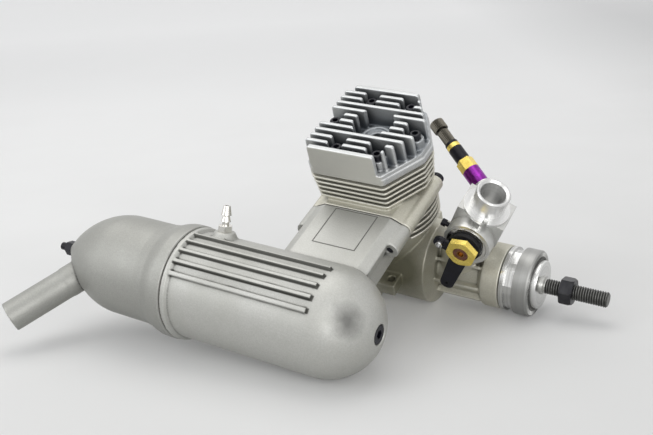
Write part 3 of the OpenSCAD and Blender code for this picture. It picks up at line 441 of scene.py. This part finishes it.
# darker grey patch on the dome
silencerLook = dict(shellLook, ribs=ribLines, groove=ductOutline,
                    spot=dict(spotNoise, centre=(0.0331, -0.1009, 0.061), radius=0.0124,
                              ragged=0.005, colour=(0.085, 0.085, 0.08)))
tailLook = dict(shellLook, dark=(0.32, 0.32, 0.3), light=(0.395, 0.395, 0.37),
                stain=(0.3, 0.3, 0.28))
headLook = dict(castLook, dark=(0.48, 0.49, 0.49), light=(0.58, 0.59, 0.585),
                stain=(0.41, 0.42, 0.425), shadeColour=(0.045, 0.05, 0.06), edge=(0.72, 0.74, 0.76),
                edgeShare=0.45, hollowShadeShare=0.9, grain=1800.0, bump=0.4, rough=0.42, metallic=0.8,
                shadeReach=0.008, shadeShare=0.85,
                finLightAndShade={"top": 0.0886, "bottom": 0.0815, "share": 0.55, "face": -0.0266,
                      "blur": 0.0006, "facingFrom": -0.5, "facingTo": -0.85, "slab": 0.0782,
                      "corner": 0.0365, "cornerBlur": 0.002, "colour": (0.13, 0.15, 0.175),
                      "paintedFrontLight": (0.64, 0.63, 0.575), "paintedFrontLightShare": 0.7})
carbLook = dict(castLook, dark=(0.56, 0.56, 0.545), light=(0.66, 0.66, 0.645),
                stain=(0.5, 0.5, 0.475), edgeShare=0.5, bump=0.3, rough=0.34, metallic=0.8,
                spread=0.1, softEdge=0.0004, grain=2400.0, shadeShare=0.5)
turnedLook = {"dark": (0.66, 0.66, 0.65), "light": (0.84, 0.84, 0.83), "fineness": 9000.0,
              "rough": 0.2, "roughSpread": 0.07, "metallic": 1.0, "bump": 0.25,
              "bumpReach": 0.00006, "softEdge": 0.0003}
hubLook = dict(turnedLook, dark=(0.5, 0.5, 0.49), light=(0.74, 0.74, 0.73), rough=0.18,
               satin={"start": 0.0716, "blur": 0.0001, "share": 0.8, "tone": (0.3, 0.3, 0.29),
                      "rougher": 0.22, "ringDepth": (0.0793, 0.0794), "ringMiddle": 0.0137,
                      "ringHalf": 0.0009, "ringBlur": 0.0002, "ringShade": (0.09, 0.09, 0.086)})
steelLook = {"dark": (0.004, 0.004, 0.007), "light": (0.01, 0.01, 0.017),
             "edge": (0.05, 0.05, 0.06), "edgeShare": 0.1, "spread": 0.08, "grain": 4000.0,
             "blotch": 260.0, "rough": 0.32, "smoother": 0.04, "rougher": 0.06, "metallic": 0.0,
             "bump": 0.15, "bumpReach": 0.00005, "softEdge": 0.00018, "gloss": 0.5,
             "zoneBlur": 0.0001}
castLooks = {"castAluminium": crankcaseLook, "silencerAluminium": silencerLook,
             "tailAluminium": tailLook, "headAluminium": headLook, "carbAluminium": carbLook}
turnedLooks = {"turnedShaftwise": (turnedLook, shaftFrame), "hubAluminium": (hubLook, shaftFrame),
               "turnedThroat": (dict(turnedLook, metallic=0.7), carbFrame),
               "turnedDrum": (dict(turnedLook, rough=0.3), drumFrame),
               "turnedUpright": (dict(turnedLook, rough=0.28), Matrix.Identity(4))}
plainLooks = {
    "blackOxide": dict(gloss=0.22),
    "threadSteel": dict(dark=(0.05, 0.05, 0.048), light=(0.085, 0.085, 0.078), edgeShare=0.6,
                        edge=(0.4, 0.4, 0.39), rough=0.42, metallic=0.8,
                        zone={"kind": "below", "place": shaftFrame, "limit": 0.0846,
                              "tone": (0.6, 0.6, 0.58)}),
    "nutSteel": dict(dark=(0.014, 0.014, 0.015), light=(0.035, 0.035, 0.036), edgeShare=0.3,
                     metallic=0.6),
    "knurledSteel": dict(dark=(0.014, 0.013, 0.01), light=(0.04, 0.037, 0.03), edgeShare=0.6,
                         edge=(0.2, 0.185, 0.155), softEdge=0.00005, rough=0.36, metallic=0.85),
    "groundSteel": dict(dark=(0.5, 0.5, 0.5), light=(0.66, 0.66, 0.66), edge=(0.85, 0.85, 0.85),
                        rough=0.25, metallic=1.0),
    "brightNickel": dict(dark=(0.66, 0.64, 0.6), light=(0.78, 0.77, 0.73), edge=(0.9, 0.9, 0.88),
                         rough=0.16, metallic=1.0, bump=0.06),
    "yellowBrass": dict(dark=(0.8, 0.59, 0.09), light=(0.98, 0.77, 0.17), edge=(1.0, 0.92, 0.5),
                        rough=0.25, metallic=0.8, bump=0.1),
    "purpleAnodise": dict(dark=(0.17, 0.004, 0.22), light=(0.32, 0.012, 0.4),
                          edge=(0.55, 0.25, 0.65), rough=0.24, metallic=0.9, bump=0.08),
    "blackRubber": dict(dark=(0.008, 0.008, 0.008), light=(0.02, 0.02, 0.02), gloss=0.25,
                        rough=0.6, metallic=0.0, bump=0.3),
    "gasketFibre": dict(dark=(0.06, 0.055, 0.05), light=(0.13, 0.12, 0.11), edgeShare=0.1,
                        rough=0.8, metallic=0.0, bump=0.5),
    "softCopper": dict(dark=(0.55, 0.26, 0.14), light=(0.7, 0.38, 0.22), edge=(0.9, 0.6, 0.4),
                       rough=0.3, metallic=1.0),
    "redPlastic": dict(dark=(0.07, 0.02, 0.01), light=(0.13, 0.035, 0.018),
                       edge=(0.35, 0.16, 0.1), rough=0.3, metallic=0.0, bump=0.1,
                       zone={"kind": "core", "place": drumFrame, "limit": 0.0021,
                             "tone": (0.32, 0.17, 0.05)}),
}
# every look becomes a material of the same name
materials = {name: castMetal(name, look) for name, look in castLooks.items()}
materials.update({name: turnedMetal(name, *look) for name, look in turnedLooks.items()})
materials.update({name: plainFinish(name, dict(steelLook, **look))
                  for name, look in plainLooks.items()})
slotFinish = {"cast_aluminium": "castAluminium", "machined_aluminium": "turnedShaftwise",
              "black_steel": "blackOxide", "ground_steel": "groundSteel",
              "plated_steel": "brightNickel", "brass": "yellowBrass", "bronze": "softCopper",
              "gasket": "gasketFibre", "copper": "softCopper", "rubber": "blackRubber",
              "purple_anodised": "purpleAnodise", "red_plastic": "redPlastic"}
nodeFinish = {"carb_throat": "turnedThroat", "throttle_drum": "turnedDrum",
              "piston": "turnedUpright", "connecting_rod": "carbAluminium",
              "backplate": "carbAluminium", "crankshaft": "threadSteel", "prop_nut": "nutSteel",
              "carb_body": "carbAluminium", "drive_hub": "hubAluminium"}
slotOf = {part["node"]: part["material_slot"] for part in frame["record"]["subparts"]}


def dress(piece, finish):
    piece.data.materials.clear()
    piece.data.materials.append(materials[finish])


for nodeName, node in nodes.items():
    dress(node, nodeFinish.get(nodeName, slotFinish[slotOf[nodeName]]))
print("materials made:", len(materials))


# working helpers
mergeDistance = 0.000002


def pick(piece):
    bpy.ops.object.select_all(action="DESELECT")
    piece.select_set(True)
    bpy.context.view_layer.objects.active = piece


def joined(first, *others):
    pick(first)
    for piece in others:
        piece.select_set(True)
    bpy.ops.object.join()


def applied(piece, kind, **settings):
    pick(piece)
    modifier = piece.modifiers.new(kind.title(), kind)
    for key, value in settings.items():
        setattr(modifier, key, value)
    bpy.ops.object.modifier_apply(modifier=modifier.name)


def mergedCopy(nodeName, pieceName):
    piece = bpy.data.objects.new(pieceName, nodes[nodeName].data.copy())
    bpy.context.scene.collection.objects.link(piece)
    pick(piece)
    if piece.data.has_custom_normals:
        bpy.ops.mesh.customdata_custom_splitnormals_clear()
    bpy.ops.object.mode_set(mode="EDIT")
    bpy.ops.mesh.select_all(action="SELECT")
    bpy.ops.mesh.remove_doubles(threshold=mergeDistance)
    bpy.ops.object.mode_set(mode="OBJECT")
    return piece


def finishPiece(piece, body, finish, replaced=(), smoothAngle=None):
    pick(piece)
    bpy.ops.object.transform_apply(location=True, rotation=True, scale=True)
    if smoothAngle:
        bpy.ops.object.shade_smooth_by_angle(angle=math.radians(smoothAngle))
    dress(piece, finish)
    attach(piece, body)
    if replaced:
        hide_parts(*replaced)
    return piece


# castings, with their edges and corners softened
castings = {
    "crankcase": {"voxel": 0.00048, "rounds": 3, "finish": "castAluminium"},
    "silencer_front": {"voxel": 0.0005, "rounds": 3, "finish": "silencerAluminium"},
    "silencer_rear": {"voxel": 0.0006, "rounds": 4, "finish": "tailAluminium"},
    "cylinder_head": {"voxel": 0.00042, "rounds": 2, "finish": "headAluminium"},
}
mostTriangles = 190000
smoothing = 0.5
for nodeName, cast in castings.items():
    piece = mergedCopy(nodeName, nodeName + "_cast")
    applied(piece, "REMESH", mode="VOXEL", voxel_size=cast["voxel"])
    applied(piece, "SMOOTH", factor=smoothing, iterations=cast["rounds"])
    triangles = sum(len(face.vertices) - 2 for face in piece.data.polygons)
    if triangles > mostTriangles:
        applied(piece, "DECIMATE", ratio=mostTriangles / triangles)
    finishPiece(piece, bodyOf[nodeName], cast["finish"], (nodeName,))
    bpy.ops.object.shade_smooth()
    print("casting:", nodeName, triangles)


# propeller shaft with its thread
shaftThread = {"start": 0.0836, "end": 0.1156, "pitch": 0.00125, "outer": 0.00397, "depth": 0.0006,
               "crest": 0.25, "steps": 36, "spareTurns": 5, "smoothAngle": 35}


# cuts off what lies outside two places along the shaft
def keepBetween(piece, low, high):
    pick(piece)
    bpy.ops.object.mode_set(mode="EDIT")
    for place, side in ((low, "inner"), (high, "outer")):
        if place is None:
            continue
        bpy.ops.mesh.select_all(action="SELECT")
        bpy.ops.mesh.bisect(plane_co=(place, 0, 0), plane_no=(1, 0, 0), use_fill=True,
                            clear_inner=side == "inner", clear_outer=side == "outer")
    bpy.ops.object.mode_set(mode="OBJECT")


# one turn of thread profile, wound along the shaft and cut to length
def threadRod(name, sizes):
    pitch, outer, root = sizes["pitch"], sizes["outer"], sizes["outer"] - sizes["depth"]
    first = sizes["start"] - 2 * pitch
    flat = sizes["crest"] * pitch
    bpy.ops.object.select_all(action="DESELECT")
    bpy.ops.mesh.primitive_plane_add(size=pitch, location=(0, 0, 0))
    rod = bpy.context.object
    rod.name = name
    outline = [(first, root), (first + (pitch - flat) / 2, outer),
               (first + (pitch + flat) / 2, outer), (first + pitch, root)]
    mesh = bmesh.new()
    mesh.from_mesh(rod.data)
    mesh.verts.ensure_lookup_table()
    order = [0, 2, 3, 1]  # the plane's corners, going round
    bmesh.ops.delete(mesh, geom=mesh.faces[:], context="FACES_ONLY")
    mesh.verts.ensure_lookup_table()
    ends = {mesh.verts[order[0]], mesh.verts[order[3]]}
    closing = [edge for edge in mesh.edges if set(edge.verts) == ends]
    bmesh.ops.delete(mesh, geom=closing, context="EDGES")
    mesh.verts.ensure_lookup_table()
    for index, (x, radius) in zip(order, outline):
        mesh.verts[index].co = (x, 0, radius)
    mesh.to_mesh(rod.data)
    mesh.free()
    turns = int((sizes["end"] - sizes["start"]) / pitch) + sizes["spareTurns"]
    applied(rod, "SCREW", axis="X", screw_offset=pitch, iterations=turns, steps=sizes["steps"],
            render_steps=sizes["steps"], use_merge_vertices=True, merge_threshold=mergeDistance)
    pick(rod)
    bpy.ops.object.mode_set(mode="EDIT")
    bpy.ops.mesh.select_all(action="SELECT")
    bpy.ops.mesh.remove_doubles(threshold=mergeDistance)
    bpy.ops.object.mode_set(mode="OBJECT")
    keepBetween(rod, sizes["start"], sizes["end"])
    pick(rod)
    bpy.ops.object.mode_set(mode="EDIT")
    bpy.ops.mesh.select_all(action="SELECT")
    bpy.ops.mesh.normals_make_consistent(inside=False)
    bpy.ops.object.mode_set(mode="OBJECT")
    return rod


shaftRear = mergedCopy("crankshaft", "crankshaft_threaded")
keepBetween(shaftRear, None, shaftThread["start"])
shaftTip = mergedCopy("crankshaft", "shaftTip")
keepBetween(shaftTip, shaftThread["end"], None)
thread = threadRod("shaftThread", shaftThread)
joined(shaftRear, shaftTip, thread)
finishPiece(shaftRear, "crank", "threadSteel", ("crankshaft",),
            shaftThread["smoothAngle"])
print("shaft thread cut")


# knurled needle knob
knob = {"headRadius": 0.0041, "headStart": 0.051, "headLength": 0.0059, "bodyRadius": 0.0032,
        "bodyStart": 0.0413, "teeth": 26, "bodyTeeth": 22, "depth": 0.88, "neck": 0.0012,
        "neckRadius": 0.0023, "neckDepth": 0.97, "neckHidden": 0.0004, "rim": 0.1, "ledge": 0.12,
        "raised": 0.00025, "raisedWithin": 0.86, "facingOut": 0.9, "endFrom": 0.49}


# toothed barrel with stepped ends, set along the needle
def knurledBarrel(name, radius, length, teeth, depth, start):
    bpy.ops.object.select_all(action="DESELECT")
    bpy.ops.mesh.primitive_cylinder_add(vertices=teeth * 2, radius=radius, depth=length,
                                        location=(0, 0, 0))
    barrel = bpy.context.object
    barrel.name = name
    bpy.ops.object.mode_set(mode="EDIT")
    bpy.ops.mesh.select_all(action="DESELECT")
    mesh = bmesh.from_edit_mesh(barrel.data)
    for vert in mesh.verts:
        turn = math.atan2(vert.co.y, vert.co.x) / math.tau * teeth * 2
        vert.select_set(round(turn) % 2 == 0)
    mesh.select_flush_mode()
    bmesh.update_edit_mesh(barrel.data)
    bpy.ops.transform.resize(value=(depth, depth, 1))
    bpy.ops.mesh.select_all(action="DESELECT")
    mesh = bmesh.from_edit_mesh(barrel.data)
    for face in mesh.faces:
        face.select_set(abs(face.normal.z) > knob["facingOut"])
    bmesh.update_edit_mesh(barrel.data)
    bpy.ops.mesh.inset(thickness=radius * knob["rim"])
    bpy.ops.mesh.inset(thickness=radius * knob["ledge"])
    bpy.ops.object.mode_set(mode="OBJECT")
    mesh = bmesh.new()
    mesh.from_mesh(barrel.data)
    for vert in mesh.verts:
        inside = math.hypot(vert.co.x, vert.co.y) < radius * knob["raisedWithin"]
        if inside and abs(vert.co.z) > length * knob["endFrom"]:
            vert.co.z *= 1 + knob["raised"] / length
    mesh.to_mesh(barrel.data)
    mesh.free()
    barrel.matrix_world = needleFrame @ Matrix.Translation((0, 0, start + length / 2))
    return barrel


knobHead = knurledBarrel("needleKnobKnurled", knob["headRadius"], knob["headLength"], knob["teeth"],
                         knob["depth"], knob["headStart"])
knobBody = knurledBarrel("needleKnobBody", knob["bodyRadius"],
                         knob["headStart"] - knob["neck"] - knob["bodyStart"],
                         knob["bodyTeeth"], knob["depth"], knob["bodyStart"])
knobNeck = knurledBarrel("needleKnobNeck", knob["neckRadius"],
                         knob["neck"] + 2 * knob["neckHidden"], knob["bodyTeeth"],
                         knob["neckDepth"], knob["headStart"] - knob["neck"] - knob["neckHidden"])
joined(knobHead, knobBody, knobNeck)
finishPiece(knobHead, "needle", "knurledSteel", ("needle_knob",))
print("knob knurled")


# gripping serrations on the face of the drive hub
serration = {"count": 72, "inner": 0.0131, "outer": 0.0166, "face": 0.0796, "high": 0.0003,
             "wide": 0.00045, "crest": 0.25}
bpy.ops.object.select_all(action="DESELECT")
bpy.ops.mesh.primitive_cube_add(size=1, location=(0, 0, 0))
ridge = bpy.context.object
ridge.name = "hubSerrations"
ridge.scale = (serration["high"] * 2, serration["wide"], serration["outer"] - serration["inner"])
ridge.location = (serration["face"], 0, (serration["outer"] + serration["inner"]) / 2)
bpy.ops.object.transform_apply(location=True, rotation=True, scale=True)
bpy.ops.object.mode_set(mode="EDIT")
mesh = bmesh.from_edit_mesh(ridge.data)
for vert in mesh.verts:
    if vert.co.x > serration["face"]:
        vert.co.y *= serration["crest"]
bmesh.update_edit_mesh(ridge.data)
bpy.ops.object.mode_set(mode="OBJECT")
ridges = [ridge]
for number in range(1, serration["count"]):
    twin = ridge.copy()
    twin.data = ridge.data.copy()
    twin.data.transform(Matrix.Rotation(math.tau * number / serration["count"], 4, "X"))
    bpy.context.scene.collection.objects.link(twin)
    ridges.append(twin)
joined(*ridges)
finishPiece(ridge, "crank", "hubAluminium")
print("serrations cut")


# camera, floor and light
camera = {"place": (0.2165, -0.3263, 0.3646), "right": (0.8575, 0.4769, -0.1932),
          "down": (0.1908, -0.6435, -0.7413), "forward": (-0.4778, 0.5987, -0.6428),
          "lens": 52.99, "sensor": 36, "clipStart": 0.01, "clipEnd": 30}
cameraData = bpy.data.cameras.new("studioCamera")
cameraData.sensor_width = camera["sensor"]
cameraData.lens = camera["lens"]
cameraData.clip_end = camera["clipEnd"]
cameraData.clip_start = camera["clipStart"]
cameraObject = bpy.data.objects.new("studioCamera", cameraData)
bpy.context.scene.collection.objects.link(cameraObject)
turned = Matrix([camera["right"], [-value for value in camera["down"]],
                 [-value for value in camera["forward"]]])
cameraObject.matrix_world = Matrix.Translation(camera["place"]) @ turned.transposed().to_4x4()
bpy.context.scene.camera = cameraObject

floorPlane = {"up": (-0.0989, 0.4055, 0.9087), "drop": 0.0251, "size": 14.0,
              "near": (0.72, 0.72, 0.715), "far": (0.86, 0.86, 0.86), "nearEnd": -0.1,
              "farEnd": 0.7, "cloudScale": 9.0, "cloudDetail": 3.0, "cloudLow": 0.3,
              "cloudHigh": 0.7, "cloudShare": 0.1,
              "foldScale": 6.0, "foldDetail": 2.0, "foldStrength": 0.15, "foldHeight": 0.01,
              "rough": 0.75, "gloss": 0.2}
# light that only the camera sees on the paper, brighter to the back and dimmer to the right
floorLift = {"from": -0.15, "to": 1.6, "low": 0.045, "high": 0.34, "left": 0.02,
             "leftFrom": 0.15, "leftTo": -0.3, "right": 0.14, "rightFrom": 0.25, "rightTo": 0.5}
up = Vector(floorPlane["up"]).normalized()
across = Vector(camera["right"]) - up * up.dot(Vector(camera["right"]))
across.normalize()
back = up.cross(across)
floorTurn = Matrix([across, back, up]).transposed().to_4x4()
floorFrame = Matrix.Translation(-up * floorPlane["drop"]) @ floorTurn


def floorMaterial():
    material, tree, shader = startMaterial("paperSweep")
    coords = placedVector(tree, floorFrame)
    parts = partsOf(tree, coords)
    # painted falloff of light: the paper is darker at the front and lighter towards the back, with
    # cloudy tone
    far = mapRange(tree, parts.outputs[1], floorPlane["nearEnd"], floorPlane["farEnd"])
    cloud = noise(tree, coords, floorPlane["cloudScale"], floorPlane["cloudDetail"])
    share = floorPlane["cloudShare"]
    far = mathNode(tree, "ADD", far, mapRange(tree, cloud, floorPlane["cloudLow"],
                                              floorPlane["cloudHigh"], -share, share), True)
    colour = mixColour(tree, far, floorPlane["near"], floorPlane["far"])
    tree.links.new(colour, shader.inputs["Base Color"])
    shader.inputs["Roughness"].default_value = floorPlane["rough"]
    shader.inputs["Specular IOR Level"].default_value = floorPlane["gloss"]
    lift = mapRange(tree, parts.outputs[1], floorLift["from"], floorLift["to"],
                    floorLift["low"], floorLift["high"])
    lift = mathNode(tree, "ADD", lift, mapRange(
        tree, parts.outputs[0], floorLift["leftFrom"], floorLift["leftTo"], 0.0,
        floorLift["left"]))
    lift = minus(tree, lift, mapRange(
        tree, parts.outputs[0], floorLift["rightFrom"], floorLift["rightTo"], 0.0,
        floorLift["right"]))
    seen = addNode(tree, "ShaderNodeLightPath").outputs["Is Camera Ray"]
    shader.inputs["Emission Color"].default_value = (1, 1, 1, 1)
    tree.links.new(times(tree, lift, seen), shader.inputs["Emission Strength"])
    folds = noise(tree, coords, floorPlane["foldScale"], floorPlane["foldDetail"])
    tree.links.new(addNode(tree, "ShaderNodeBump", {
        "Strength": floorPlane["foldStrength"], "Distance": floorPlane["foldHeight"],
        "Height": folds}).outputs[0], shader.inputs["Normal"])
    clear = tree.nodes.new("ShaderNodeBsdfTransparent")
    mix = tree.nodes.new("ShaderNodeMixShader")
    facing = addNode(tree, "ShaderNodeNewGeometry").outputs["Backfacing"]
    tree.links.new(facing, mix.inputs[0])
    tree.links.new(shader.outputs[0], mix.inputs[1])
    tree.links.new(clear.outputs[0], mix.inputs[2])
    output = [node for node in tree.nodes if node.type == "OUTPUT_MATERIAL"][0]
    tree.links.new(mix.outputs[0], output.inputs[0])
    return material


bpy.ops.object.select_all(action="DESELECT")
bpy.ops.mesh.primitive_plane_add(size=floorPlane["size"], location=(0, 0, 0))
floor = bpy.context.object
floor.name = "studioFloor"
floor.data.transform(floorFrame)
floor.data.materials.append(floorMaterial())

lamps = {
    "overheadSoftbox": {"place": (-0.15, 0.15, 0.95), "size": (1.1, 0.9), "watts": 4.0,
                        "colour": (1.0, 0.99, 0.97)},
    "leftSoftbox": {"place": (-0.9, -0.35, 0.55), "size": (0.7, 0.9), "watts": 2.6,
                    "colour": (0.97, 0.985, 1.0)},
    "frontFill": {"place": (0.2, -1.0, 0.34), "size": (1.0, 0.6), "watts": 4.4,
                  "colour": (1.0, 1.0, 1.0)},
}
lampTarget = Vector((0, -0.04, 0.02))
for lampName, lamp in lamps.items():
    lampData = bpy.data.lights.new(lampName, "AREA")
    lampData.shape = "RECTANGLE"
    lampData.size, lampData.size_y = lamp["size"]
    lampData.energy = lamp["watts"]
    lampData.color = lamp["colour"]
    lampObject = bpy.data.objects.new(lampName, lampData)
    bpy.context.scene.collection.objects.link(lampObject)
    spot = across * lamp["place"][0] + back * lamp["place"][1] + up * lamp["place"][2]
    lampObject.location = spot
    lampObject.rotation_euler = (lampTarget - spot).to_track_quat("-Z", "Y").to_euler()

surroundings = {"lighting": (0.42, 0.425, 0.43), "seen": (0.93, 0.93, 0.93)}
world = bpy.data.worlds.new("studioWorld")
bpy.context.scene.world = world
world.use_nodes = True
worldTree = world.node_tree
worldTree.nodes.clear()
rays = addNode(worldTree, "ShaderNodeLightPath")
seen = mathNode(worldTree, "MAXIMUM", mathNode(worldTree, "MAXIMUM",
                rays.outputs["Is Camera Ray"], rays.outputs["Is Glossy Ray"]),
                rays.outputs["Is Transmission Ray"])
tone = mixColour(worldTree, seen, surroundings["lighting"], surroundings["seen"])
backdrop = addNode(worldTree, "ShaderNodeBackground", {"Color": tone, "Strength": 1.0})
worldTree.links.new(backdrop.outputs[0],
                    addNode(worldTree, "ShaderNodeOutputWorld").inputs[0])
bpy.context.scene.view_settings.view_transform = "Standard"
print("studio set")
